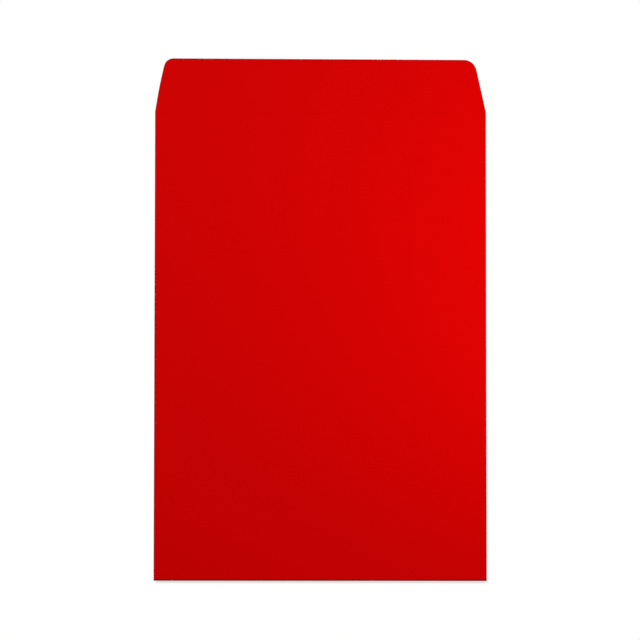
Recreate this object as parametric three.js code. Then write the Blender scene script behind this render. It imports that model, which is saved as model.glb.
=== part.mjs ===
// A rigid pocket envelope of solid board, folded from one die-cut blank, lying on its back panel
// with its closure flap open flat. Millimetres: X across the width, +Y from the bottom fold to the
// flap, +Z up out of the address side. The origin is the middle of the pocket's resting face.

import * as THREE from "three";

// Pocket
const bodyWidth = 229;
const bodyLength = 324;
const boardThickness = 0.5;
const mouthDrop = 3;
const backPanelInset = 1.25;
const backPanelTaper = 3;
const backCornerRadius = 3;
const cornerRelief = 1;

// Side seams
const seamGap = 0.25;
const seamFlapWidth = 20;
const seamFlapTaper = 6;
const seamGlueThickness = 0.125;
const seamGlueWidth = 10;
const seamGlueSetback = 5;
const seamGlueEndMargin = 4;

// Scored hinge line between the pocket and the flap
const scoreHalfWidth = 1.25;
const grooveWidth = 1.5;
const grooveDepth = 0.0625;
const beadWidth = 2;
const beadHeight = 0.25;

// Closure flap, whose free edge runs slightly down to the right and whose left flank bows out
const flapLengthLeft = 38.75;
const flapLengthRight = 37.75;
const flapInsetLeft = 7.5;
const flapInsetRight = 8;
const flapBowLeft = 0.5;
const flapCornerRadiusLeft = 6.5;
const flapCornerRadiusRight = 9;

// Peel-and-seal closure
const sealThickness = 0.125;
const sealWidth = 12;
const sealFreeEdgeMargin = 7.75;
const sealEndMargin = 6.75;
const linerThickness = 0.125;
const linerClearance = 0.0625;
const linerSideOverhang = 1.5;
const linerEndOverhang = 4;
const linerCornerRadius = 2;

// Steps of each curve in an outline
const curveSteps = 8;

// The layers of the pocket, from the resting face up to the address side
const backTop = boardThickness;
const seamFlapBottom = backTop + seamGlueThickness;
const seamFlapTop = seamFlapBottom + boardThickness;
const frontBottom = seamFlapTop + seamGap;
const frontTop = frontBottom + boardThickness;

// The layers that hang under the open flap
const sealBottom = frontBottom - sealThickness;
const linerTop = sealBottom - linerClearance;
const linerBottom = linerTop - linerThickness;

// The side folds turn the front panel into the seam flaps, the bottom fold into the back panel
const sideFoldRadius = (frontTop - seamFlapBottom) / 2;
const sideFoldHeight = (frontTop + seamFlapBottom) / 2;
const bottomFoldRadius = frontTop / 2;

// Places shared by the panels
const halfWidth = bodyWidth / 2;
const bottomEdge = -bodyLength / 2;
const scoreLine = bodyLength / 2;
const foldLine = halfWidth - sideFoldRadius;
const panelStart = bottomEdge + bottomFoldRadius;
const scoreStart = scoreLine - scoreHalfWidth;
const scoreEnd = scoreLine + scoreHalfWidth;
const sideFoldStart = panelStart + cornerRelief;
const sideFoldEnd = scoreStart - cornerRelief;
const backPanelEnd = scoreLine - mouthDrop;
const backHalfWidth = halfWidth - backPanelInset;

// The two sides: the sign of x, and the angle at which the turn of the side fold starts
const left = { sign: -1, turnStart: Math.PI / 2 };
const right = { sign: 1, turnStart: -Math.PI / 2 };

// Where the seal lies on the flap
const sealFar = scoreLine + Math.min(flapLengthLeft, flapLengthRight) - sealFreeEdgeMargin;
const sealNear = sealFar - sealWidth;
const sealHalfLength = halfWidth - Math.max(flapInsetLeft, flapInsetRight) - sealEndMargin;

function extruded(shape, depth) {
  return new THREE.ExtrudeGeometry(shape, { depth, bevelEnabled: false, curveSegments: curveSteps });
}

// A flat piece whose outline is drawn as seen from above.
function plate(outline, bottom, top) {
  return extruded(outline, top - bottom).translate(0, 0, bottom);
}

// A straight piece along Y, whose section is drawn with x to the right and z up.
function lengthwise(section, near, far) {
  return extruded(section, far - near)
    .rotateX(Math.PI / 2)
    .translate(0, far, 0);
}

// A straight piece along X, centred, whose section is drawn with y to the right and z up.
function crosswise(section, length) {
  return extruded(section, length)
    .rotateX(Math.PI / 2)
    .rotateZ(Math.PI / 2)
    .translate(-length / 2, 0, 0);
}

// A half turn of board, counter-clockwise from one angle to the angle opposite it.
function halfTurn(centre, height, outerRadius, startAngle) {
  const section = new THREE.Shape();
  const endAngle = startAngle + Math.PI;
  section.absarc(centre, height, outerRadius, startAngle, endAngle, false);
  section.absarc(centre, height, outerRadius - boardThickness, endAngle, startAngle, true);
  return section;
}

// Runs an outline up to a corner and round it, counter-clockwise, towards the next point.
function roundCorner(outline, before, corner, after, radius) {
  const back = before.clone().sub(corner).normalize();
  const onward = after.clone().sub(corner).normalize();
  const halfAngle = back.angleTo(onward) / 2;
  const towardsCentre = back.clone().add(onward).normalize();
  const centre = corner.clone().addScaledVector(towardsCentre, radius / Math.sin(halfAngle));
  const tangentLength = radius / Math.tan(halfAngle);
  const start = corner.clone().addScaledVector(back, tangentLength).sub(centre);
  const end = corner.clone().addScaledVector(onward, tangentLength).sub(centre);
  outline.absarc(centre.x, centre.y, radius, start.angle(), end.angle(), false);
}

// A rectangle with four round corners, centred on x = 0.
function roundedStrip(halfLength, near, far, radius) {
  const corners = [
    new THREE.Vector2(-halfLength, near),
    new THREE.Vector2(halfLength, near),
    new THREE.Vector2(halfLength, far),
    new THREE.Vector2(-halfLength, far),
  ];
  const outline = new THREE.Shape();
  corners.forEach((corner, i) => {
    const before = corners[(i + 3) % 4];
    const after = corners[(i + 1) % 4];
    roundCorner(outline, before, corner, after, radius);
  });
  return outline;
}

function polygon(points) {
  return new THREE.Shape(points.map(([x, y]) => new THREE.Vector2(x, y)));
}

// Points given for the right-hand side, in their place on either side, kept counter-clockwise.
function onSide(side, points) {
  const placed = points.map(([x, y]) => [side.sign * x, y]);
  return side.sign > 0 ? placed : placed.reverse();
}

// Full width at both ends, and narrower between them, where the side folds lie.
function frontPanel() {
  const rightEdge = [
    [halfWidth, panelStart],
    [halfWidth, sideFoldStart],
    [foldLine, sideFoldStart],
    [foldLine, sideFoldEnd],
    [halfWidth, sideFoldEnd],
    [halfWidth, scoreStart],
  ];
  const outline = polygon([...onSide(right, rightEdge), ...onSide(left, rightEdge)]);
  return plate(outline, frontBottom, frontTop);
}

// The board pressed along the score: a groove in the outer face and a bead on the inner one.
function flapCrease() {
  const section = new THREE.Shape();
  section.moveTo(scoreStart, frontBottom);
  section.lineTo(scoreLine - beadWidth / 2, frontBottom);
  section.quadraticCurveTo(
    scoreLine,
    frontBottom - 2 * beadHeight,
    scoreLine + beadWidth / 2,
    frontBottom,
  );
  section.lineTo(scoreEnd, frontBottom);
  section.lineTo(scoreEnd, frontTop);
  section.lineTo(scoreLine + grooveWidth / 2, frontTop);
  section.quadraticCurveTo(
    scoreLine,
    frontTop - 2 * grooveDepth,
    scoreLine - grooveWidth / 2,
    frontTop,
  );
  section.lineTo(scoreStart, frontTop);
  return crosswise(section, bodyWidth);
}

function closureFlap() {
  const baseLeft = new THREE.Vector2(-halfWidth, scoreEnd);
  const baseRight = new THREE.Vector2(halfWidth, scoreEnd);
  const freeLeft = new THREE.Vector2(-halfWidth + flapInsetLeft, scoreLine + flapLengthLeft);
  const freeRight = new THREE.Vector2(halfWidth - flapInsetRight, scoreLine + flapLengthRight);
  const bow = freeLeft.clone().lerp(baseLeft, 0.5);
  bow.x -= 2 * flapBowLeft;
  const outline = new THREE.Shape();
  outline.moveTo(baseLeft.x, baseLeft.y);
  outline.lineTo(baseRight.x, baseRight.y);
  roundCorner(outline, baseRight, freeRight, freeLeft, flapCornerRadiusRight);
  roundCorner(outline, freeRight, freeLeft, bow, flapCornerRadiusLeft);
  outline.quadraticCurveTo(bow.x, bow.y, baseLeft.x, baseLeft.y);
  return plate(outline, frontBottom, frontTop);
}

function sideFold(side) {
  const section = halfTurn(side.sign * foldLine, sideFoldHeight, sideFoldRadius, side.turnStart);
  return lengthwise(section, sideFoldStart, sideFoldEnd);
}

// Folded in under the front panel, with both ends of its free edge cut away at a slant.
function seamFlap(side) {
  const freeEdge = foldLine - seamFlapWidth;
  const outline = polygon(
    onSide(side, [
      [freeEdge, sideFoldStart + seamFlapTaper],
      [foldLine, sideFoldStart],
      [foldLine, sideFoldEnd],
      [freeEdge, sideFoldEnd - seamFlapTaper],
    ]),
  );
  return plate(outline, seamFlapBottom, seamFlapTop);
}

function bottomFold() {
  const section = halfTurn(panelStart, bottomFoldRadius, bottomFoldRadius, Math.PI / 2);
  return crosswise(section, bodyWidth);
}

// As wide as the front panel at the bottom fold, then set in a little from the side folds.
function backPanel() {
  const nearRight = new THREE.Vector2(backHalfWidth, panelStart + backPanelTaper);
  const farRight = new THREE.Vector2(backHalfWidth, backPanelEnd);
  const farLeft = new THREE.Vector2(-backHalfWidth, backPanelEnd);
  const nearLeft = new THREE.Vector2(-backHalfWidth, nearRight.y);
  const outline = new THREE.Shape();
  outline.moveTo(-halfWidth, panelStart);
  outline.lineTo(halfWidth, panelStart);
  outline.lineTo(nearRight.x, nearRight.y);
  roundCorner(outline, nearRight, farRight, farLeft, backCornerRadius);
  roundCorner(outline, farRight, farLeft, nearLeft, backCornerRadius);
  outline.lineTo(nearLeft.x, nearLeft.y);
  return plate(outline, 0, backTop);
}

// A line of set glue between a seam flap and the back panel.
function seamGlue(side) {
  const outerEdge = foldLine - seamGlueSetback;
  const innerEdge = outerEdge - seamGlueWidth;
  const near = sideFoldStart + seamFlapTaper + seamGlueEndMargin;
  const far = sideFoldEnd - seamFlapTaper - seamGlueEndMargin;
  const outline = polygon(
    onSide(side, [
      [innerEdge, near],
      [outerEdge, near],
      [outerEdge, far],
      [innerEdge, far],
    ]),
  );
  return plate(outline, backTop, seamFlapBottom);
}

// Pressure-sensitive adhesive along the inner face of the flap.
function sealStrip() {
  const outline = polygon([
    [-sealHalfLength, sealNear],
    [sealHalfLength, sealNear],
    [sealHalfLength, sealFar],
    [-sealHalfLength, sealFar],
  ]);
  return plate(outline, sealBottom, frontBottom);
}

// Silicone paper over the adhesive, wider and longer than it, so that fingers can lift it.
function releaseLiner() {
  const outline = roundedStrip(
    sealHalfLength + linerEndOverhang,
    sealNear - linerSideOverhang,
    sealFar + linerSideOverhang,
    linerCornerRadius,
  );
  return plate(outline, linerBottom, linerTop);
}

const redBoard = { color: 0xd00000, roughness: 0.6, metalness: 0 };
const driedGlue = { color: 0xe8dfc4, roughness: 0.35, metalness: 0 };
const clearAdhesive = { color: 0xe9e4d2, roughness: 0.2, metalness: 0 };
const siliconePaper = { color: 0xf3f3ee, roughness: 0.35, metalness: 0 };

function piece(name, geometry, finish) {
  const mesh = new THREE.Mesh(geometry, new THREE.MeshStandardMaterial(finish));
  mesh.name = name;
  return mesh;
}

const pocket = new THREE.Group();
pocket.add(
  piece("front_panel", frontPanel(), redBoard),
  piece("flap_crease", flapCrease(), redBoard),
  piece("left_side_fold", sideFold(left), redBoard),
  piece("right_side_fold", sideFold(right), redBoard),
  piece("left_seam_flap", seamFlap(left), redBoard),
  piece("right_seam_flap", seamFlap(right), redBoard),
  piece("left_seam_glue", seamGlue(left), driedGlue),
  piece("right_seam_glue", seamGlue(right), driedGlue),
  piece("bottom_fold", bottomFold(), redBoard),
  piece("back_panel", backPanel(), redBoard),
);

const flap = new THREE.Group();
flap.add(
  piece("closure_flap", closureFlap(), redBoard),
  piece("seal_strip", sealStrip(), clearAdhesive),
  piece("release_liner", releaseLiner(), siliconePaper),
);

const envelope = new THREE.Group();
envelope.add(pocket, flap);

export default envelope;
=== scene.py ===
"""Looks of a rigid board envelope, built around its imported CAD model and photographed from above.

The blank is one sheet of board, printed red outside and bare inside. Each panel, fold and
adhesive line is its own piece and stands for one CAD node. Lengths are in metres.
"""

import math

import bmesh
import bpy
import numpy as np
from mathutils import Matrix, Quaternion, Vector
from mathutils.geometry import delaunay_2d_cdt


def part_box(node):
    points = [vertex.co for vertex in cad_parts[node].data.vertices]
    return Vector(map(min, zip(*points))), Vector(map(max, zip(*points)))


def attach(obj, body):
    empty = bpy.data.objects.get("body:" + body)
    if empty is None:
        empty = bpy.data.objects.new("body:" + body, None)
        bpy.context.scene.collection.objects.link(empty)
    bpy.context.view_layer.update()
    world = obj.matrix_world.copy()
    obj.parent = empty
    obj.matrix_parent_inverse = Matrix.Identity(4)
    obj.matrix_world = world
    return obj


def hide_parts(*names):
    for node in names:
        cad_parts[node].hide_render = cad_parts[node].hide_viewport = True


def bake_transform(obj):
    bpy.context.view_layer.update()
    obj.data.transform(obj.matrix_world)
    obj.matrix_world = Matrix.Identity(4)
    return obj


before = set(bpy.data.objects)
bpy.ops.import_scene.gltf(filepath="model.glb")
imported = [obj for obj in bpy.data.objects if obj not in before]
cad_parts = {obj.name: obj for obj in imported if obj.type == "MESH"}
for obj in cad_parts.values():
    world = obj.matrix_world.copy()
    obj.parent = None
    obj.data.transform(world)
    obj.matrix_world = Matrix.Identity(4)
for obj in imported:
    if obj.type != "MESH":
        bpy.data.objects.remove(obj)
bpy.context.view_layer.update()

bl_info = {
    "name": "Rigid board envelope",
    "version": (1, 0, 0),
    "blender": (4, 5, 0),
    "location": "3D View > Sidebar > Envelope",
    "description": "Makes the board, adhesive and paper pieces of a rigid envelope and its studio",
    "category": "Object",
}

MM = 0.001
WHITE = (1, 1, 1, 1)

# Material slots of a board piece, and the names that a fold's tree gives them
PRINTED, BARE, CUT = 0, 1, 2
FACES = ("Printed face", "Bare face", "Cut edge")

# How the pieces are meshed: their steps, what counts as sharp and what as one point
RIM_STEPS = 3
CORNER_STEPS = 10
FLANK_STEPS = 10
SWEEP_STEPS = 120
GLUE_STEPS = 200
SEAL_STEPS = 120
STEPS_PER_RIB = 12
SHARP = math.radians(50)
MERGE = 1e-7

# Places that the CAD model gives
FRONT_LOW, FRONT_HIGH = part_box("front_panel")
BACK_LOW, BACK_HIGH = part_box("back_panel")
SEAM_LOW, SEAM_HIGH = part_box("right_seam_flap")
SIDE_LOW, SIDE_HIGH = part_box("right_side_fold")
BOTTOM_LOW, BOTTOM_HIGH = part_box("bottom_fold")
FLAP_LOW, FLAP_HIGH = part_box("closure_flap")
GLUE_LOW, GLUE_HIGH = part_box("right_seam_glue")
SEAL_LOW, SEAL_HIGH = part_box("seal_strip")
LINER_LOW, LINER_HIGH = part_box("release_liner")

BOARD = FRONT_HIGH.z - FRONT_LOW.z
HALF_WIDTH = FRONT_HIGH.x
SCORE_LINE = (FRONT_HIGH.y + FLAP_LOW.y) / 2
ACROSS = ((HALF_WIDTH, 0, 0), (-HALF_WIDTH, 0, 0))


def amount(name, description, default, **kind):
    return bpy.props.FloatProperty(name=name, description=description, default=default, **kind)


def length(name, description, default, **limits):
    return amount(name, description, default, unit="LENGTH", precision=5, **limits)


def share(name, description, default):
    return amount(name, description, default, min=0, max=1, subtype="FACTOR")


def count(name, description, default, low=1):
    return bpy.props.IntProperty(name=name, description=description, default=default, min=low)


def colour(name, description, default):
    return bpy.props.FloatVectorProperty(
        name=name, description=description, default=default, size=3, min=0, max=1, subtype="COLOR"
    )


class EnvelopeBoard(bpy.types.PropertyGroup):
    """The die-cut blank and its print."""

    knife_rim: length("Knife rim", "Rounding where the cutting knife enters the board", 0.1 * MM)
    burr_rim: length("Burr rim", "Rounding where the cutting knife leaves the board", 0.035 * MM)
    # Painted shade and scuffs lie in this band along each cut edge
    shade_and_scuff_band: length("Shade and scuff band", "Width of the band along a cut edge that holds painted shade and scuffs", 0.85 * MM)
    mesh_step: length("Mesh step", "Distance between the points of a panel", 5 * MM, min=MM)
    waviness: length("Waviness", "How far a panel dips between its folds", 0.05 * MM)
    back_inset: length("Back inset", "How far the back panel is set in at each side", 1.25 * MM)
    back_taper: length("Back taper", "Length over which the back panel is drawn in", 3 * MM)
    back_corner: length("Back corner", "Radius of the back panel's corners at the mouth", 3 * MM)
    seam_taper: length("Seam taper", "How much is cut off each end of a seam flap", 6 * MM)
    flap_left: length("Flap left", "Length of the closure flap at its left corner", 38.75 * MM)
    flap_right: length("Flap right", "Length of the closure flap at its right corner", 37.75 * MM)
    inset_left: length("Left inset", "How far the flap's left corner is set in", 7.5 * MM)
    inset_right: length("Right inset", "How far the flap's right corner is set in", 8 * MM)
    bow_left: length("Left bow", "How far the flap's left flank bows out", 0.5 * MM)
    corner_left: length("Left corner", "Radius of the flap's left corner", 6.5 * MM)
    corner_right: length("Right corner", "Radius of the flap's right corner", 9 * MM)
    groove_width: length("Groove width", "Width of the score's groove outside", 1.5 * MM)
    groove_depth: length("Groove depth", "Depth of the score's groove outside", 0.02 * MM)
    bead_width: length("Bead width", "Width of the score's bead inside", 2 * MM)
    bead_height: length("Bead height", "Height of the score's bead inside", 0.25 * MM)
    unevenness: length("Unevenness", "How far a fold wanders from its even round", 0.03 * MM)
    fold_steps: count("Fold steps", "Faces round a half turn of board", 24, 4)
    print_colour: colour("Print", "Colour of the printed face", (0.66, 0.0, 0.0))
    print_dark: colour("Deep print", "Colour of the print where ink lies thick", (0.62, 0.0, 0.0))
    # Painted shade: the print is darkened towards this colour along cut edges, folds and the score
    edge_shade_colour: colour("Edge shade", "Colour of the painted shade on the print along cut edges and folds", (0.38, 0.0, 0.0))
    scuff_colour: colour("Scuff", "Colour of print that is rubbed thin", (0.74, 0.12, 0.1))
    bare_colour: colour("Bare board", "Colour of the unprinted face", (0.7, 0.67, 0.6))
    core_colour: colour("Board core", "Colour of the board's middle plies", (0.62, 0.58, 0.5))


class EnvelopeBonds(bpy.types.PropertyGroup):
    """The glue of the side seams, the seal and its liner."""

    seam_beads: count("Seam beads", "Lines of glue in a side seam", 3)
    bead_share: share("Bead share", "Share of the seam's width that the glue covers", 0.72)
    bead_rim: length("Bead rim", "Width over which a line of seam glue thins out", 0.4 * MM)
    edge_wander: length("Edge wander", "How far the edge of a glue line wanders", 0.3 * MM)
    seal_ribs: count("Seal ribs", "Ribs that the nozzle leaves along the seal", 10)
    rib_depth: share("Rib depth", "Depth of the ribs as a share of the seal's thickness", 0.4)
    seal_rim: length("Seal rim", "Width over which the seal thins out", 0.25 * MM)
    liner_corner: length("Liner corner", "Radius of the liner's corners", 2 * MM)
    liner_rim: length("Liner rim", "Rounding of the liner's edge on its silicone side", 0.02 * MM)
    liner_burr: length("Liner burr", "Rounding of the liner's edge on its back", 0.01 * MM)
    glue_colour: colour("Seam glue", "Colour of the dried seam glue", (0.78, 0.72, 0.55))
    seal_colour: colour("Seal", "Colour of the seal's adhesive", (0.8, 0.77, 0.66))
    liner_colour: colour("Liner", "Colour of the release liner", (0.75, 0.66, 0.46))


class EnvelopeStudio(bpy.types.PropertyGroup):
    """The floor, the lamps and the camera."""

    floor_drop: length("Floor drop", "Room under the envelope for its closed flap", 1.3 * MM)
    floor_white: share("Floor white", "Share of plain white in the floor near the envelope", 0.68)
    fill_light: share("Fill light", "Level of the even light from all round", 0.2)
    key_power: amount("Key lamp", "Power of the high lamp, back left", 10.75, min=0, unit="POWER")
    side_power: amount("Side lamp", "Power of the low lamp, right", 0.71, min=0, unit="POWER")
    camera_height: amount("Camera height", "Above the floor", math.radians(83.55), subtype="ANGLE")
    camera_roll: amount("Camera roll", "Tilt of the camera to its left", 0.0008, subtype="ANGLE")
    camera_distance: length("Camera distance", "From the camera to the envelope", 5.0)
    lens: amount("Lens", "Focal length in millimetres", 407.5, min=1, unit="CAMERA")


class Link:
    """An output of a node. Plus, minus, times and divided by add Math nodes."""

    def __init__(self, maker, node, output=0):
        self.maker, self.node = maker, node
        self.socket = node.outputs[output] if node.outputs else None

    def out(self, output):
        return Link(self.maker, self.node, output)

    def __add__(self, other):
        return self.maker.math("ADD", self, other)

    def __sub__(self, other):
        return self.maker.math("SUBTRACT", self, other)

    def __rsub__(self, other):
        return self.maker.math("SUBTRACT", other, self)

    def __mul__(self, other):
        return self.maker.math("MULTIPLY", self, other)

    def __truediv__(self, other):
        return self.maker.math("DIVIDE", self, other)

    def __rtruediv__(self, other):
        return self.maker.math("DIVIDE", other, self)

    __radd__ = __add__
    __rmul__ = __mul__


class NodeMaker:
    """Adds nodes to one tree, which it empties first."""

    def __init__(self, tree):
        self.tree = tree
        tree.nodes.clear()

    def add(self, kind, sockets=None, output=0, **settings):
        """A new node. Its settings are set first, then the values or links of its sockets."""
        node = self.tree.nodes.new(kind)
        for name, value in settings.items():
            setattr(node, name, value)
        for name, value in (sockets or {}).items():
            if isinstance(value, Link):
                self.tree.links.new(value.socket, node.inputs[name])
            elif value is not None:
                node.inputs[name].default_value = value
        return Link(self, node, output)

    def math(self, operation, *values):
        return self.add("ShaderNodeMath", dict(enumerate(values)), operation=operation)

    def vector(self, **parts):
        return self.add("ShaderNodeCombineXYZ", parts)

    def smooth(self, value, start, end, low=0.0, high=1.0):
        """Goes smoothly from low to high as a value goes from start to end."""
        sockets = {0: value, 1: start, 2: end, 3: low, 4: high}
        return self.add("ShaderNodeMapRange", sockets, interpolation_type="SMOOTHSTEP")

    def mix(self, factor, first, second):
        """A mix of two colours."""
        sockets = {0: factor, 6: first, 7: second}
        return self.add("ShaderNodeMix", sockets, output=2, data_type="RGBA")


class Finish(NodeMaker):
    """A material with a Principled shader, whose patterns lie in Object coordinates."""

    def __init__(self, name, constants):
        self.material = bpy.data.materials.new(name)
        self.material.use_nodes = True
        super().__init__(self.material.node_tree)
        self.shader = self.add("ShaderNodeBsdfPrincipled", constants)
        self.add("ShaderNodeOutputMaterial", {"Surface": self.shader})
        self.place = self.add("ShaderNodeTexCoord").out("Object")

    def noise(self, size, detail=2.0, stretch=None):
        """Noise from 0 to 1 whose features are about that size, longer along a small stretch."""
        place = self.place
        if stretch:
            place = self.add("ShaderNodeMapping", {"Vector": place, "Scale": stretch})
        sockets = {"Vector": place, "Scale": 1 / size, "Detail": detail}
        return self.add("ShaderNodeTexNoise", sockets, noise_dimensions="3D")

    def mark(self, name):
        """A mask that the mesh carries."""
        return self.add("ShaderNodeAttribute", attribute_name=name).out("Fac")

    def drive(self, **sockets):
        for name, value in sockets.items():
            self.tree.links.new(value.socket, self.shader.node.inputs[name.replace("_", " ")])

    def bump(self, height):
        """Raises the surface by a height in metres."""
        sockets = {"Strength": 1.0, "Distance": 1.0, "Height": height}
        self.drive(Normal=self.add("ShaderNodeBump", sockets))


def rgba(values, level=1.0):
    """A colour for a socket, at a share of its brightness."""
    return (*(value * level for value in values), 1.0)


def printed_face(board):
    """Red ink on calendered board: a fine grain, painted shade along its rims and folds, scuffed
    rims, and cracked folds.
    """
    rub_share, crack_share = 0.15, 0.06
    grain_height, swell_height = 0.006 * MM, 0.008 * MM
    finish = Finish("printed red board", {"Specular IOR Level": 0.01})
    grain, cloud = finish.noise(0.45 * MM, 3.0), finish.noise(14 * MM)
    ink = finish.mix(grain * 0.6 + cloud * 0.4, rgba(board.print_dark), rgba(board.print_colour))
    rim, crease = finish.mark("rim"), finish.mark("crease")
    # Painted shade: the print is darkened along cut edges, on the folds and along the score
    edge_shaded = finish.mix(rim + crease, ink, rgba(board.edge_shade_colour))
    rubbed = finish.smooth(finish.noise(1.8 * MM), 0.5, 0.75)
    hairlines = finish.noise(0.25 * MM, 2.0, (0.12, 1, 1)) * finish.noise(3 * MM, 1.0)
    cracks = finish.smooth(hairlines, 0.34, 0.5)
    worn = rim * rubbed * rub_share + crease * cracks * crack_share
    finish.drive(
        Base_Color=finish.mix(worn, edge_shaded, rgba(board.scuff_colour)),
        Roughness=grain * 0.1 + worn * 0.2 + 0.5,
    )
    finish.bump(grain * grain_height + finish.noise(1.6 * MM) * swell_height)
    return finish.material


def bare_face(board):
    """The unprinted inner face, with long fibres and a few darker specks."""
    fibre_height, swell_height = 0.014 * MM, 0.01 * MM
    pale, dark, speck = (rgba(board.bare_colour, level) for level in (1.0, 0.86, 0.55))
    finish = Finish("bare board", {"Specular IOR Level": 0.2})
    fibres = finish.noise(0.35 * MM, 4.0, (0.35, 1, 1))
    specks = finish.smooth(finish.noise(0.8 * MM, 1.0), 0.72, 0.8)
    finish.drive(
        Base_Color=finish.mix(specks * 0.7, finish.mix(fibres, dark, pale), speck),
        Roughness=fibres * 0.12 + 0.8,
    )
    finish.bump(fibres * fibre_height + finish.noise(2.2 * MM) * swell_height)
    return finish.material


def cut_edge(board):
    """The cut through the board, where its plies show as thin layers."""
    ply_height, tear_height = 0.012 * MM, 0.008 * MM
    pale, dark = rgba(board.core_colour), rgba(board.core_colour, 0.7)
    finish = Finish("board core", {"Roughness": 0.9, "Specular IOR Level": 0.15})
    plies = finish.noise(0.09 * MM, 1.0, (0.04, 0.04, 1))
    torn = finish.noise(0.3 * MM, 3.0)
    finish.drive(Base_Color=finish.mix(plies * 0.7 + torn * 0.3, dark, pale))
    finish.bump(plies * ply_height + torn * tear_height)
    return finish.material


def seam_glue_finish(bonds):
    """Dried glue with a wrinkled skin."""
    skin_height = 0.012 * MM
    pale, dark = rgba(bonds.glue_colour), rgba(bonds.glue_colour, 0.88)
    finish = Finish("dried seam glue", {"Specular IOR Level": 0.45})
    skin = finish.noise(0.9 * MM, 3.0)
    finish.drive(Base_Color=finish.mix(skin, dark, pale), Roughness=skin * 0.2 + 0.3)
    finish.bump(skin * skin_height)
    return finish.material


def seal_finish(bonds):
    """Glossy adhesive, drawn out in long streaks."""
    streak_height = 0.006 * MM
    pale, dark = rgba(bonds.seal_colour), rgba(bonds.seal_colour, 0.9)
    gloss = {"Specular IOR Level": 0.5, "Coat Weight": 0.3, "Coat Roughness": 0.08}
    finish = Finish("seal adhesive", gloss)
    streaks = finish.noise(0.4 * MM, 2.0, (0.05, 1, 1))
    finish.drive(Base_Color=finish.mix(streaks, dark, pale), Roughness=streaks * 0.12 + 0.14)
    finish.bump(streaks * streak_height)
    return finish.material


def liner_finish(bonds, name, siliconised):
    """Paper with long fibres. Its silicone side is smooth, the other one matte."""
    side = (0.5, 0.28, 0.002 * MM) if siliconised else (0.25, 0.62, 0.006 * MM)
    gloss, roughness, fibre_height = side
    pale, dark = rgba(bonds.liner_colour), rgba(bonds.liner_colour, 0.94)
    finish = Finish(name, {"Specular IOR Level": gloss})
    fibres, cloud = finish.noise(0.3 * MM, 3.0, (0.5, 1, 1)), finish.noise(5 * MM)
    finish.drive(
        Base_Color=finish.mix(fibres * 0.6 + cloud * 0.4, dark, pale),
        Roughness=fibres * 0.1 + roughness,
    )
    finish.bump(fibres * fibre_height)
    return finish.material


def once(store, name, make, *values):
    """A material or a node tree that several operators share."""
    return store.get(name) or make(*values)


def board_finishes(board):
    """Printed face, bare face and cut edge, in the order of a board piece's material slots."""
    makes = {"printed red board": printed_face, "bare board": bare_face, "board core": cut_edge}
    return [once(bpy.data.materials, name, make, board) for name, make in makes.items()]


def fillet(before, corner, after, radius):
    """Points of a round corner between two straight edges."""
    back, onward = (before - corner).normalized(), (after - corner).normalized()
    half_angle = back.angle(onward) / 2
    centre = corner + (back + onward).normalized() * (radius / math.sin(half_angle))
    reach = radius / math.tan(half_angle)
    start, end = corner + back * reach - centre, corner + onward * reach - centre
    first = math.atan2(start.y, start.x)
    turn = (math.atan2(end.y, end.x) - first) % (2 * math.pi)
    angles = [first + turn * i / CORNER_STEPS for i in range(CORNER_STEPS + 1)]
    return [centre + radius * Vector((math.cos(a), math.sin(a))) for a in angles]


def outline_of(corners, step):
    """A counter-clockwise outline as points, each with a flag for the edge that starts there.

    A corner is (x, y, radius, cut). A cut edge is open to the air, any other goes on in a fold.
    Edges longer than step are divided.
    """
    places = [Vector(c[:2]) for c in corners]
    points, cuts = [], []
    for i, (_, _, radius, cut) in enumerate(corners):
        before, after = places[i - 1], places[(i + 1) % len(places)]
        arc = fillet(before, places[i], after, radius) if radius else [places[i]]
        points += arc
        cuts += [1] * (len(arc) - 1) + [cut]
    fine_points, fine_cuts = [], []
    for i, point in enumerate(points):
        after = points[(i + 1) % len(points)]
        parts = max(1, math.ceil((after - point).length / step))
        fine_points += [point.lerp(after, k / parts) for k in range(parts)]
        fine_cuts += [cuts[i]] * parts
    return fine_points, fine_cuts


def inset(points, insets):
    """Moves each edge of an outline inwards by its own amount."""
    nearly_straight = 1e-3
    moved = []
    for i, point in enumerate(points):
        came = (point - points[i - 1]).normalized()
        goes = (points[(i + 1) % len(points)] - point).normalized()
        in_came, in_goes = Vector((-came.y, came.x)), Vector((-goes.y, goes.x))
        shift, along = in_came * insets[i - 1], came.dot(in_goes)
        if abs(along) < nearly_straight:
            shift = (shift + in_goes * insets[i]) / 2
        else:
            shift += came * ((insets[i] - shift.dot(in_goes)) / along)
        moved.append(point + shift)
    return moved


def inner_points(ring, step):
    """Points of a triangular lattice that lie more than half a step inside an outline."""
    row_step, margin = 0.87 * step, 0.5 * step
    ends = np.array([tuple(p) for p in ring])
    starts = np.roll(ends, 1, 0)
    low, high = ends.min(0), ends.max(0)
    rows = []
    for k, y in enumerate(np.arange(low[1], high[1], row_step)):
        xs = np.arange(low[0] + (k % 2) * step / 2, high[0], step)
        rows.append(np.column_stack([xs, np.full(len(xs), y)]))
    points = np.vstack(rows)
    p, a, b = points[:, None], starts[None], ends[None]
    run = b - a
    t = np.clip(((p - a) * run).sum(-1) / (run * run).sum(-1), 0, 1)
    near = np.linalg.norm(p - a - t[..., None] * run, axis=-1).min(1)
    crosses = (a[..., 1] > p[..., 1]) != (b[..., 1] > p[..., 1])
    rise = np.where(run[..., 1] == 0, 1, run[..., 1])
    at = a[..., 0] + (p[..., 1] - a[..., 1]) * run[..., 0] / rise
    inside = (crosses & (at > p[..., 0])).sum(1) % 2 == 1
    return [Vector(q) for q in points[inside & (near > margin)]]


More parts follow.
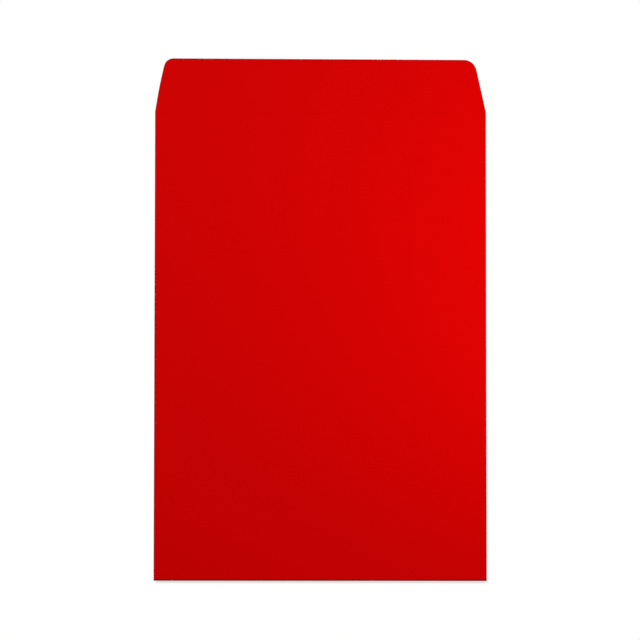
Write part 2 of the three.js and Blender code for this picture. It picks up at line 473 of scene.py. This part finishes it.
def rim_profile(layer, upper, lower, band):
    """Inset and height of the rings round a cut edge, from the top face over to the bottom."""
    bottom, top = layer
    quarter = [math.pi / 2 * k / RIM_STEPS for k in range(RIM_STEPS + 1)]
    over = [(upper * (1 - math.sin(a)), top - upper * (1 - math.cos(a))) for a in quarter]
    under = [(lower * (1 - math.sin(a)), bottom + lower * (1 - math.cos(a))) for a in quarter]
    return [(band, top), *over, *reversed(under), (band, bottom)]


def triangles_of(name, points, size):
    """Fills an outline, which is the first of the points, with triangles between all of them."""
    inside_only, tolerance = 1, 1e-5
    loop = [(i, (i + 1) % size) for i in range(size)]
    found, _, triangles, origins = delaunay_2d_cdt(points, loop, [], inside_only, tolerance)[:4]
    if len(found) != len(points):
        raise RuntimeError(f"{name}: its outline crosses itself")
    made = []
    for triangle in triangles:
        a, b, c = (origins[v][0] for v in triangle)
        turned = (points[b] - points[a]).cross(points[c] - points[a]) < 0
        made.append((a, c, b) if turned else (a, b, c))
    return made


def plate(name, corners, layer, board, finishes=None, printed_up=True, rim=None, dip=None):
    """A flat piece of sheet with its own finish on each side and a knife-cut rim.

    layer is its bottom and top. dip is a function of x and y that lowers both faces. The finish
    of each side reaches over the start of its rim. Without finishes it gets those of the board.
    """
    knife, burr = rim or (board.knife_rim, board.burr_rim)
    upper, lower = (knife, burr) if printed_up else (burr, knife)
    on_top, beneath = (PRINTED, BARE) if printed_up else (BARE, PRINTED)
    profile = rim_profile(layer, upper, lower, board.shade_and_scuff_band)
    points, cuts = outline_of(corners, board.mesh_step)
    rings = [inset(points, [d * c for c in cuts]) for d, _ in profile]
    middle = inner_points(rings[0], board.mesh_step)

    places = [(p.x, p.y, z) for ring, (_, z) in zip(rings, profile) for p in ring]
    places += [(p.x, p.y, z) for z in reversed(layer) for p in middle]
    if dip:
        places = [(x, y, z - dip(x, y)) for x, y, z in places]
    size, last = len(points), len(rings) - 1
    unworn = [0.0] * size
    # The rim mask marks where the print gets painted shade and scuffs along cut edges
    open_corners = [float(max(cuts[i], cuts[i - 1])) for i in range(size)]
    marks = unworn + open_corners * (last - 1) + unworn + [0.0] * (2 * len(middle))

    # The points of the middle follow the last ring, first those on top, then those beneath
    faces = []
    lowest = last * size
    for triangle in triangles_of(name, [p / MM for p in (*rings[0], *middle)], size):
        over = [k if k < size else lowest + k for k in triangle]
        under = [lowest + k if k < size else lowest + len(middle) + k for k in triangle]
        faces += [(over, on_top, False), (under[::-1], beneath, False)]
    for i in range(size):
        here = [r * size + i for r in range(len(rings))]
        there = [r * size + (i + 1) % size for r in range(len(rings))]
        if not cuts[i]:
            faces.append((here + there[::-1], CUT, True))
            continue
        for r in range(last):
            kind = on_top if r < RIM_STEPS else beneath if r > 2 * RIM_STEPS else CUT
            faces.append(([here[r], here[r + 1], there[r + 1], there[r]], kind, False))
    return piece_from(name, places, faces, marks, finishes or board_finishes(board))


def piece_from(name, places, faces, rim_marks, finishes):
    """A new object from points and faces. A face is its corners, its finish and if it is flat."""
    outlines, kinds, flats = zip(*faces)
    mesh = bpy.data.meshes.new(name)
    mesh.from_pydata(places, [], outlines)
    for finish in finishes:
        mesh.materials.append(finish)
    mesh.polygons.foreach_set("material_index", kinds)
    mesh.polygons.foreach_set("use_smooth", [not flat for flat in flats])
    mesh.attributes.new("rim", "FLOAT", "POINT").data.foreach_set("value", rim_marks)
    clean(mesh)
    return object_of(name, mesh)


def clean(mesh, grown=False):
    """Merges double points and marks the sharp edges. A grown mesh may still be inside out."""
    work = bmesh.new()
    work.from_mesh(mesh)
    bmesh.ops.remove_doubles(work, verts=work.verts, dist=MERGE)
    if grown:
        bmesh.ops.recalc_face_normals(work, faces=work.faces)
    else:
        bmesh.ops.dissolve_degenerate(work, edges=work.edges, dist=MERGE)
    work.to_mesh(mesh)
    work.free()
    mesh.set_sharp_from_angle(angle=SHARP)


def object_of(name, data):
    """A new object in the scene, at the origin."""
    made = bpy.data.objects.new(name, data)
    bpy.context.scene.collection.objects.link(made)
    return made


def stand_for(made, body, node):
    """Lets a finished piece ride on a body and stand for its CAD node."""
    if not made.data.polygons:
        raise RuntimeError(f"{made.name} came out empty")
    if body:
        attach(made, body)
    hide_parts(node)


def mirrored(outline):
    """An outline on the other side of the envelope, counter-clockwise again."""
    return [(-x, y) for x, y in reversed(outline)]


def sharp_corners(outline, cuts):
    """The corners of an outline without round ones, for outline_of."""
    return [(x, y, 0, cut) for (x, y), cut in zip(outline, cuts)]


def hollow(low, high, depth):
    """A dip that is deepest away from the edges of a panel, with a few slow waves in it."""
    margin = 30 * MM
    first_x, first_y = 21 * MM, 47 * MM
    second_x, second_y, shift = 55 * MM, 33 * MM, 1.3

    def ease(distance):
        t = min(1.0, max(0.0, distance / margin))
        return t * t * (3 - 2 * t)

    def dip(x, y):
        room = ease(x - low.x) * ease(high.x - x) * ease(y - low.y) * ease(high.y - y)
        waves = math.sin(x / first_x + y / first_y) + math.sin(y / second_y - x / second_x + shift)
        return depth * room * (0.5 + waves / 4)

    return dip


class ENVELOPE_OT_front_panel(bpy.types.Operator):
    """Make the address side, cut away a little at both ends of the side folds"""

    bl_idname = "envelope.front_panel"
    bl_label = "Front panel"

    def execute(self, context):
        board = context.scene.envelope_board
        right = [
            (HALF_WIDTH, FRONT_LOW.y),
            (HALF_WIDTH, SIDE_LOW.y),
            (SIDE_LOW.x, SIDE_LOW.y),
            (SIDE_LOW.x, SIDE_HIGH.y),
            (HALF_WIDTH, SIDE_HIGH.y),
            (HALF_WIDTH, FRONT_HIGH.y),
        ]
        cuts = (1, 1, 0, 1, 1, 0)
        made = plate(
            "front_panel_board",
            sharp_corners(right + mirrored(right), cuts + cuts),
            (FRONT_LOW.z, FRONT_HIGH.z),
            board,
            dip=hollow(FRONT_LOW, FRONT_HIGH, board.waviness),
        )
        stand_for(made, "pocket", "front_panel")
        return {"FINISHED"}


class ENVELOPE_OT_back_panel(bpy.types.Operator):
    """Make the back panel, set in from the side folds and rounded at the mouth"""

    bl_idname = "envelope.back_panel"
    bl_label = "Back panel"

    def execute(self, context):
        board = context.scene.envelope_board
        side = HALF_WIDTH - board.back_inset
        near, far = BACK_LOW.y + board.back_taper, BACK_HIGH.y
        corners = [
            (-HALF_WIDTH, BACK_LOW.y, 0, 0),
            (HALF_WIDTH, BACK_LOW.y, 0, 1),
            (side, near, 0, 1),
            (side, far, board.back_corner, 1),
            (-side, far, board.back_corner, 1),
            (-side, near, 0, 1),
        ]
        layer = (BACK_LOW.z, BACK_HIGH.z)
        made = plate("back_panel_board", corners, layer, board, printed_up=False)
        stand_for(made, "pocket", "back_panel")
        return {"FINISHED"}


class ENVELOPE_OT_seam_flaps(bpy.types.Operator):
    """Make the two seam flaps that are folded in under the front panel"""

    bl_idname = "envelope.seam_flaps"
    bl_label = "Seam flaps"

    def execute(self, context):
        board = context.scene.envelope_board
        near, far, taper = SEAM_LOW.y, SEAM_HIGH.y, board.seam_taper
        right = [
            (SEAM_LOW.x, near + taper),
            (SEAM_HIGH.x, near),
            (SEAM_HIGH.x, far),
            (SEAM_LOW.x, far - taper),
        ]
        layer = (SEAM_LOW.z, SEAM_HIGH.z)
        for side, outline in (("right", right), ("left", mirrored(right))):
            corners = sharp_corners(outline, (1, 0, 1, 1))
            made = plate(f"{side}_seam_flap_board", corners, layer, board, printed_up=False)
            stand_for(made, "pocket", f"{side}_seam_flap")
        return {"FINISHED"}


class ENVELOPE_OT_closure_flap(bpy.types.Operator):
    """Make the closure flap, with a sloping free edge and a bowed left flank"""

    bl_idname = "envelope.closure_flap"
    bl_label = "Closure flap"

    def execute(self, context):
        board = context.scene.envelope_board
        base = FLAP_LOW.y
        left = Vector((-HALF_WIDTH + board.inset_left, SCORE_LINE + board.flap_left))
        right = Vector((HALF_WIDTH - board.inset_right, SCORE_LINE + board.flap_right))
        foot = Vector((-HALF_WIDTH, base))
        bow = left.lerp(foot, 0.5) - Vector((2 * board.bow_left, 0))
        tangent, just_after = fillet(right, left, bow, board.corner_left)[-1], 0.01
        flank = [tangent.lerp(bow, just_after)]
        for k in range(1, FLANK_STEPS):
            t = k / FLANK_STEPS
            flank.append(tangent * (1 - t) ** 2 + bow * (2 * t * (1 - t)) + foot * t**2)
        corners = [
            (foot.x, foot.y, 0, 0),
            (HALF_WIDTH, base, 0, 1),
            (right.x, right.y, board.corner_right, 1),
            (left.x, left.y, board.corner_left, 1),
            *((point.x, point.y, 0, 1) for point in flank),
        ]
        made = plate("closure_flap_board", corners, (FLAP_LOW.z, FLAP_HIGH.z), board)
        stand_for(made, "flap", "closure_flap")
        return {"FINISHED"}


def section_object(name, outer, inner, shade_and_wear):
    """The outline of a folded board's section, as a loop of edges that carries its masks.

    outer and inner run from one end of the fold to the other, and shade_and_wear gives how much
    painted shade and wear outer has at a share of its way. The loop is drawn with y down, as Curve
    to Mesh lays a profile on a level path.
    """
    loop = [(x, -z, 0) for x, z in (*outer, *reversed(inner))]
    last = len(outer) - 1
    # The crease mask sets the painted shade and the cracks on a fold's print, and how far the fold
    # wanders
    creases = [shade_and_wear(k / last) for k in range(len(outer))] + [0.0] * len(inner)
    printed = [True] * len(outer) + [False] * len(inner)
    after = loop[1:] + loop[:1]
    if sum(x0 * y1 - x1 * y0 for (x0, y0, _), (x1, y1, _) in zip(loop, after)) < 0:
        loop, creases, printed = loop[::-1], creases[::-1], printed[::-1]
    mesh = bpy.data.meshes.new(name)
    mesh.from_pydata(loop, [(i, (i + 1) % len(loop)) for i in range(len(loop))], [])
    masks = (
        ("printed", "BOOLEAN", printed),
        ("bare", "BOOLEAN", [not p for p in printed]),
        ("crease", "FLOAT", creases),
    )
    for mark, kind, values in masks:
        mesh.attributes.new(mark, kind, "POINT").data.foreach_set("value", values)
    return object_of(name, mesh)


class PieceTree(NodeMaker):
    """A Geometry Nodes tree. Each input is a name, a kind and, where it needs one, a default."""

    def __init__(self, name, *inputs):
        super().__init__(bpy.data.node_groups.new(name, "GeometryNodeTree"))
        interface = self.tree.interface
        for label, kind, *default in inputs:
            kind = f"NodeSocket{kind}"
            socket = interface.new_socket(name=label, in_out="INPUT", socket_type=kind)
            if default:
                socket.default_value = default[0]
        interface.new_socket(name="Piece", in_out="OUTPUT", socket_type="NodeSocketGeometry")
        self.given = self.add("NodeGroupInput")

    def __getitem__(self, name):
        """An input of the tree."""
        return self.given.out(name)

    def stored(self, name, kind):
        """A mask that the section carries."""
        return self.add("GeometryNodeInputNamedAttribute", {"Name": name}, data_type=kind)

    def noise(self, size, seed):
        """Noise from 0 to 1 whose features are about that size."""
        place = self.add("GeometryNodeInputPosition")
        sockets = {"Vector": place, "W": seed, "Scale": 1 / size, "Detail": 2.0}
        return self.add("ShaderNodeTexNoise", sockets, noise_dimensions="4D")

    def moved(self, geometry, offset):
        return self.add("GeometryNodeSetPosition", {"Geometry": geometry, "Offset": offset})

    def made_of(self, geometry, material, faces=None):
        sockets = {"Geometry": geometry, "Selection": faces, "Material": material}
        return self.add("GeometryNodeSetMaterial", sockets)


def folded_board_tree():
    """Geometry Nodes that sweep the section of a fold along its line."""
    tree = PieceTree(
        "Folded board",
        ("Section", "Geometry"),
        ("Start", "Vector"),
        ("End", "Vector"),
        ("Steps", "Int", 60),
        ("Unevenness", "Float", 0.0),
        ("Unevenness size", "Float", 12 * MM),
        ("Seed", "Float", 0.0),
        *((name, "Material") for name in FACES),
    )
    section = tree.add("GeometryNodeMeshToCurve", {"Mesh": tree["Section"]})
    ends = {"Start": tree["Start"], "End": tree["End"]}
    line = tree.add("GeometryNodeCurvePrimitiveLine", ends)
    path = tree.add("GeometryNodeResampleCurve", {"Curve": line, "Count": tree["Steps"]})
    sockets = {"Curve": path, "Profile Curve": section, "Fill Caps": True}
    swept = tree.add("GeometryNodeCurveToMesh", sockets)
    depth = tree.noise(tree["Unevenness size"], tree["Seed"]) * tree.stored("crease", "FLOAT")
    sockets = {0: tree.add("GeometryNodeInputNormal"), "Scale": -1 * depth * tree["Unevenness"]}
    uneven = tree.moved(swept, tree.add("ShaderNodeVectorMath", sockets, operation="SCALE"))
    printed, bare = tree.stored("printed", "BOOLEAN"), tree.stored("bare", "BOOLEAN")
    either = tree.add("FunctionNodeBooleanMath", {0: printed, 1: bare}, operation="OR")
    sockets = {0: uneven, "Selection": either, "Shade Smooth": True}
    shaded = tree.add("GeometryNodeSetShadeSmooth", sockets)
    whole = tree.add("GeometryNodeRealizeInstances", {0: shaded})
    core = tree.made_of(whole, tree["Cut edge"])
    outside = tree.made_of(core, tree["Printed face"], printed)
    inside = tree.made_of(outside, tree["Bare face"], bare)
    tree.add("NodeGroupOutput", {0: inside})
    return tree.tree


def glue_line_tree():
    """Geometry Nodes that lay beads of glue side by side on a face, each with a wandering edge.

    A bead is a lens-shaped film: its upper face swells to full thickness inside the rim and may
    be ribbed along its length, and its lower face is flat.
    """
    sizes = ("Length", "Bead width", "Pitch", "Thickness", "Rim", "Wander", "Rib depth", "Seed")
    tree = PieceTree(
        "Glue line",
        ("Base", "Geometry"),
        *((name, "Float", 0.0) for name in sizes),
        ("Wander size", "Float", 9 * MM),
        ("Beads", "Int", 1),
        ("Ribs", "Int", 0),
        ("Steps along", "Int", 60),
        ("Steps across", "Int", 12),
        ("Centre", "Vector"),
        ("Turn", "Vector"),
        ("Glue", "Material"),
    )
    sockets = {
        "Size X": tree["Length"],
        "Size Y": tree["Bead width"],
        "Vertices X": tree["Steps along"],
        "Vertices Y": tree["Steps across"],
    }
    grid = tree.add("GeometryNodeMeshGrid", sockets)
    apart = tree.add("ShaderNodeSeparateXYZ", {0: tree.add("GeometryNodeInputPosition")})
    x, y = apart.out("X"), apart.out("Y")
    from_end = tree["Length"] / 2 - tree.math("ABSOLUTE", x)
    from_side = tree["Bead width"] / 2 - tree.math("ABSOLUTE", y)
    swell = tree.smooth(tree.math("MINIMUM", from_end, from_side), 0.0, tree["Rim"])
    wave = tree.math("COSINE", y * tree["Ribs"] / tree["Bead width"] * (2 * math.pi))
    height = tree["Thickness"] * swell * (1 - tree["Rib depth"] * (0.5 - wave * 0.5))
    upper = tree.moved(grid, tree.vector(Z=height))
    lower = tree.add("GeometryNodeFlipFaces", {0: grid})
    both = tree.add("GeometryNodeJoinGeometry")
    for half in (lower, upper):
        tree.tree.links.new(half.socket, both.node.inputs[0])
    closed = tree.add("GeometryNodeMergeByDistance", {"Geometry": both, "Distance": MERGE})
    sockets = {
        "Count": tree["Beads"],
        "Start Location": tree.vector(Y=(1 - tree["Beads"]) * tree["Pitch"] * 0.5),
        "Offset": tree.vector(Y=tree["Pitch"]),
    }
    rows = tree.add("GeometryNodeMeshLine", sockets)
    beads = tree.add("GeometryNodeInstanceOnPoints", {"Points": rows, "Instance": closed})
    whole = tree.add("GeometryNodeRealizeInstances", {0: beads})
    aside = (tree.noise(tree["Wander size"], tree["Seed"]) - 0.5) * tree["Wander"]
    sockets = {
        "Geometry": tree.moved(whole, tree.vector(Y=aside)),
        "Translation": tree["Centre"],
        "Rotation": tree["Turn"],
    }
    laid = tree.add("GeometryNodeTransform", sockets)
    smooth = tree.add("GeometryNodeSetShadeSmooth", {0: laid, "Shade Smooth": True})
    tree.add("NodeGroupOutput", {0: tree.made_of(smooth, tree["Glue"])})
    return tree.tree


def grow(base, name, make, values):
    """Runs a Geometry Nodes tree on an object and keeps the result as the object's own mesh."""
    tree = once(bpy.data.node_groups, name, make)
    modifier = base.modifiers.new("Make", "NODES")
    modifier.node_group = tree
    known = {i.name: i.identifier for i in tree.interface.items_tree if i.in_out == "INPUT"}
    for label, value in values.items():
        modifier[known[label]] = value
    graph = bpy.context.evaluated_depsgraph_get()
    made = bpy.data.meshes.new_from_object(base.evaluated_get(graph), depsgraph=graph)
    base.modifiers.remove(modifier)
    clean(made, grown=True)
    made.name = base.name
    base.data = made
    return base


def sweep(base, board, start, end, seed, unevenness):
    """Sweeps a section along a fold's line, in the three finishes of the board."""
    values = {
        "Start": start,
        "End": end,
        "Steps": SWEEP_STEPS,
        "Unevenness": unevenness,
        "Seed": float(seed),
        **dict(zip(FACES, board_finishes(board))),
    }
    grow(base, "Folded board", folded_board_tree, values)


def fold_shade_and_wear(t):
    """Painted shade and crack wear of a fold, from none where it meets the panels to most on its
    middle.
    """
    return math.sqrt(math.sin(math.pi * t))


def score_shade_and_wear(t):
    """Faint painted shade and cracks along the bottom of the score."""
    most, reach = 0.1, 0.25
    away = t - 0.5
    return most * math.cos(2 * math.pi * away) ** 2 if abs(away) < reach else 0.0


def half_turn(centre, height, radius, side, steps):
    """Section of the board of a fold, from the upper panel round to the lower one."""
    angles = [math.pi / 2 - math.pi * k / steps for k in range(steps + 1)]

    def arc(r):
        return [(centre + side * r * math.cos(a), height + r * math.sin(a)) for a in angles]

    return arc(radius), arc(radius - BOARD)


class ENVELOPE_OT_folds(bpy.types.Operator):
    """Make the two side folds and the bottom fold by sweeping a half turn of board"""

    bl_idname = "envelope.folds"
    bl_label = "Folds"

    def execute(self, context):
        board = context.scene.envelope_board
        side_radius = SIDE_HIGH.x - SIDE_LOW.x
        side_height = (SIDE_LOW.z + SIDE_HIGH.z) / 2
        along = ((0, SIDE_LOW.y, 0), (0, SIDE_HIGH.y, 0))
        radius = BOTTOM_HIGH.y - BOTTOM_LOW.y
        folds = [
            ("right_side_fold", (SIDE_LOW.x, side_height, side_radius, 1), along),
            ("left_side_fold", (-SIDE_LOW.x, side_height, side_radius, -1), along),
            ("bottom_fold", (BOTTOM_HIGH.y, radius, radius, -1), ACROSS),
        ]
        for seed, (node, turn, ends) in enumerate(folds):
            outer, inner = half_turn(*turn, board.fold_steps)
            base = section_object(f"{node}_board", outer, inner, fold_shade_and_wear)
            sweep(base, board, *ends, seed, board.unevenness)
            stand_for(base, "pocket", node)
        return {"FINISHED"}


class ENVELOPE_OT_score(bpy.types.Operator):
    """Make the scored hinge line, swept open; the real score bends as the flap closes"""

    bl_idname = "envelope.score"
    bl_label = "Scored hinge line"

    def execute(self, context):
        board = context.scene.envelope_board
        start, end = FRONT_HIGH.y, FLAP_LOW.y
        steps = 2 * board.fold_steps
        ways = [start + (end - start) * k / steps for k in range(steps + 1)]

        def pressed(y, width, depth):
            t = min(1.0, abs(y - SCORE_LINE) / (width / 2))
            return depth * (0.5 + math.cos(math.pi * t) / 2)

        groove = board.groove_width, board.groove_depth
        bead = board.bead_width, board.bead_height
        outer = [(y, FRONT_HIGH.z - pressed(y, *groove)) for y in ways]
        inner = [(y, FRONT_LOW.z - pressed(y, *bead)) for y in ways]
        base = section_object("flap_crease_board", outer, inner, score_shade_and_wear)
        sweep(base, board, *ACROSS, seed=7, unevenness=0.0)
        stand_for(base, None, "flap_crease")
        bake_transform(base)
        return {"FINISHED"}


def glue_line(name, low, high, values):
    """A line of glue as thick as its CAD box, grown on an object of its own."""
    base = object_of(name, bpy.data.meshes.new(name))
    return grow(base, "Glue line", glue_line_tree, {**values, "Thickness": high.z - low.z})


class ENVELOPE_OT_seam_glue(bpy.types.Operator):
    """Lay the glue between each seam flap and the back panel, in parallel beads"""

    bl_idname = "envelope.seam_glue"
    bl_label = "Seam glue"

    def execute(self, context):
        bonds = context.scene.envelope_bonds
        width = GLUE_HIGH.x - GLUE_LOW.x - bonds.edge_wander
        bead = width * bonds.bead_share / bonds.seam_beads
        middle = (GLUE_LOW + GLUE_HIGH) / 2
        finish = seam_glue_finish(bonds)
        for seed, (side, sign) in enumerate((("right", 1), ("left", -1)), start=1):
            values = {
                "Length": GLUE_HIGH.y - GLUE_LOW.y,
                "Bead width": bead,
                "Pitch": (width - bead) / max(1, bonds.seam_beads - 1),
                "Rim": bonds.bead_rim,
                "Wander": bonds.edge_wander,
                "Beads": bonds.seam_beads,
                "Steps along": GLUE_STEPS,
                "Seed": float(seed),
                "Centre": (sign * middle.x, middle.y, GLUE_LOW.z),
                "Turn": (0, 0, math.pi / 2),
                "Glue": finish,
            }
            made = glue_line(f"{side}_seam_glue_beads", GLUE_LOW, GLUE_HIGH, values)
            stand_for(made, "pocket", f"{side}_seam_glue")
        return {"FINISHED"}


class ENVELOPE_OT_seal(bpy.types.Operator):
    """Lay the ribbed strip of adhesive under the closure flap"""

    bl_idname = "envelope.seal"
    bl_label = "Seal strip"

    def execute(self, context):
        bonds = context.scene.envelope_bonds
        middle = (SEAL_LOW + SEAL_HIGH) / 2
        values = {
            "Length": SEAL_HIGH.x - SEAL_LOW.x,
            "Bead width": SEAL_HIGH.y - SEAL_LOW.y,
            "Rim": bonds.seal_rim,
            "Rib depth": bonds.rib_depth,
            "Ribs": bonds.seal_ribs,
            "Steps along": SEAL_STEPS,
            "Steps across": STEPS_PER_RIB * bonds.seal_ribs + 1,
            "Centre": (middle.x, middle.y, SEAL_HIGH.z),
            "Turn": (math.pi, 0, 0),
            "Glue": seal_finish(bonds),
        }
        made = glue_line("seal_strip_adhesive", SEAL_LOW, SEAL_HIGH, values)
        stand_for(made, "flap", "seal_strip")
        return {"FINISHED"}


class ENVELOPE_OT_liner(bpy.types.Operator):
    """Make the release liner, with its silicone side towards the adhesive"""

    bl_idname = "envelope.liner"
    bl_label = "Release liner"

    def execute(self, context):
        board, bonds = context.scene.envelope_board, context.scene.envelope_bonds
        low, high = LINER_LOW, LINER_HIGH
        places = [(low.x, low.y), (high.x, low.y), (high.x, high.y), (low.x, high.y)]
        silicone = liner_finish(bonds, "liner silicone face", siliconised=True)
        back = liner_finish(bonds, "liner back", siliconised=False)
        made = plate(
            "release_liner_paper",
            [(x, y, bonds.liner_corner, 1) for x, y in places],
            (low.z, high.z),
            board,
            finishes=[silicone, back, back],
            rim=(bonds.liner_rim, bonds.liner_burr),
        )
        stand_for(made, "liner", "release_liner")
        return {"FINISHED"}


def lamp(name, place, width, watts):
    """A round lamp that faces the middle of the envelope and that the camera doesn't see."""
    light = bpy.data.lights.new(name, "AREA")
    light.shape, light.size, light.energy = "DISK", width, watts
    made = object_of(name, light)
    made.location = place
    made.rotation_euler = (-Vector(place)).to_track_quat("-Z", "Y").to_euler()
    made.visible_camera = False


def white_seen(maker):
    """1 for rays that show the background itself: from the camera, a gloss or a clear body."""
    path = maker.add("ShaderNodeLightPath")
    bounced = maker.math("MAXIMUM", path.out("Is Glossy Ray"), path.out("Is Transmission Ray"))
    return maker.math("MAXIMUM", path.out("Is Camera Ray"), bounced)


class ENVELOPE_OT_studio(bpy.types.Operator):
    """Make the floor, the light and the camera"""

    bl_idname = "envelope.studio"
    bl_label = "Studio"

    def execute(self, context):
        scene, studio = context.scene, context.scene.envelope_studio
        self.make_floor(studio)
        self.make_world(scene, studio)
        lamp("key lamp", place=(-0.365, 0.558, 1.2), width=0.1, watts=studio.key_power)
        lamp("side lamp", place=(0.311, 0.066, 0.25), width=0.14, watts=studio.side_power)
        self.make_camera(scene, studio)
        scene.view_settings.view_transform = "Standard"
        return {"FINISHED"}

    def make_floor(self, studio):
        """Lays a floor that is partly lit under the pocket and looks plain white elsewhere."""
        reach, level = 40.0, -studio.floor_drop
        mesh = bpy.data.meshes.new("floor")
        square = [(-reach, -reach), (reach, -reach), (reach, reach), (-reach, reach)]
        mesh.from_pydata([(x, y, level) for x, y in square], [], [(0, 1, 2, 3)])
        object_of("floor", mesh)
        material = bpy.data.materials.new("floor")
        material.use_nodes = True
        mesh.materials.append(material)
        maker = NodeMaker(material.node_tree)
        place = maker.add("ShaderNodeTexCoord").out("Object")
        spot = maker.add("ShaderNodeSeparateXYZ", {0: place})
        left_room, mouth_room = 3 * MM, 2 * MM
        lit_zone = {
            "X": (left_room - HALF_WIDTH, HALF_WIDTH),
            "Y": (BOTTOM_LOW.y, SCORE_LINE - mouth_room),
        }
        outside = []
        for axis, (low, high) in lit_zone.items():
            away = maker.math("ABSOLUTE", spot.out(axis) - (low + high) / 2) - (high - low) / 2
            outside.append(maker.math("MAXIMUM", away, 0.0))
        distance = maker.math("MAXIMUM", *outside)
        near, far = 0.5 * MM, 2.5 * MM
        plain = maker.smooth(distance, near, far, studio.floor_white, 1.0)
        lit = maker.add("ShaderNodeBsdfDiffuse", {"Color": WHITE})
        glow = maker.add("ShaderNodeEmission", {"Color": WHITE, "Strength": 1.0})
        sockets = {0: plain * white_seen(maker), 1: lit, 2: glow}
        shown = maker.add("ShaderNodeMixShader", sockets)
        maker.add("ShaderNodeOutputMaterial", {"Surface": shown})

    def make_world(self, scene, studio):
        """Gives even light, behind which the camera sees plain white."""
        scene.world = bpy.data.worlds.new("studio")
        scene.world.use_nodes = True
        maker = NodeMaker(scene.world.node_tree)
        fill, white = (
            maker.add("ShaderNodeBackground", {"Color": WHITE, "Strength": strength})
            for strength in (studio.fill_light, 1.0)
        )
        shown = maker.add("ShaderNodeMixShader", {0: white_seen(maker), 1: fill, 2: white})
        maker.add("ShaderNodeOutputWorld", {"Surface": shown})

    def make_camera(self, scene, studio):
        camera = object_of("camera", bpy.data.cameras.new("camera"))
        camera.data.lens = studio.lens
        camera.data.clip_end = 100
        target = Vector((-0.21 * MM, 18.46 * MM, 0.9 * MM))
        back = Vector((0, -math.cos(studio.camera_height), math.sin(studio.camera_height)))
        camera.location = target + back * studio.camera_distance
        level = (-back).to_track_quat("-Z", "Y")
        camera.rotation_euler = (level @ Quaternion((0, 0, 1), studio.camera_roll)).to_euler()
        scene.camera = camera


OPERATORS = (
    ENVELOPE_OT_front_panel,
    ENVELOPE_OT_back_panel,
    ENVELOPE_OT_seam_flaps,
    ENVELOPE_OT_closure_flap,
    ENVELOPE_OT_folds,
    ENVELOPE_OT_score,
    ENVELOPE_OT_seam_glue,
    ENVELOPE_OT_seal,
    ENVELOPE_OT_liner,
    ENVELOPE_OT_studio,
)

GROUPS = {
    "envelope_board": EnvelopeBoard,
    "envelope_bonds": EnvelopeBonds,
    "envelope_studio": EnvelopeStudio,
}


class ENVELOPE_PT_parts(bpy.types.Panel):
    """The pieces of the envelope, in the order in which they are made"""

    bl_idname = "ENVELOPE_PT_parts"
    bl_label = "Rigid board envelope"
    bl_space_type = "VIEW_3D"
    bl_region_type = "UI"
    bl_category = "Envelope"

    def draw(self, context):
        column = self.layout.column(align=True)
        for operator in OPERATORS:
            column.operator(operator.bl_idname)
        for group_name, group in GROUPS.items():
            box = self.layout.box()
            for name in group.__annotations__:
                box.prop(getattr(context.scene, group_name), name)


def register():
    for cls in (*GROUPS.values(), *OPERATORS, ENVELOPE_PT_parts):
        bpy.utils.register_class(cls)
    for name, group in GROUPS.items():
        setattr(bpy.types.Scene, name, bpy.props.PointerProperty(type=group))


def unregister():
    for name in GROUPS:
        delattr(bpy.types.Scene, name)
    for cls in reversed((*GROUPS.values(), *OPERATORS, ENVELOPE_PT_parts)):
        bpy.utils.unregister_class(cls)


def main():
    register()
    for operator in OPERATORS:
        category, name = operator.bl_idname.split(".")
        getattr(getattr(bpy.ops, category), name)()


if __name__ == "__main__":
    main()
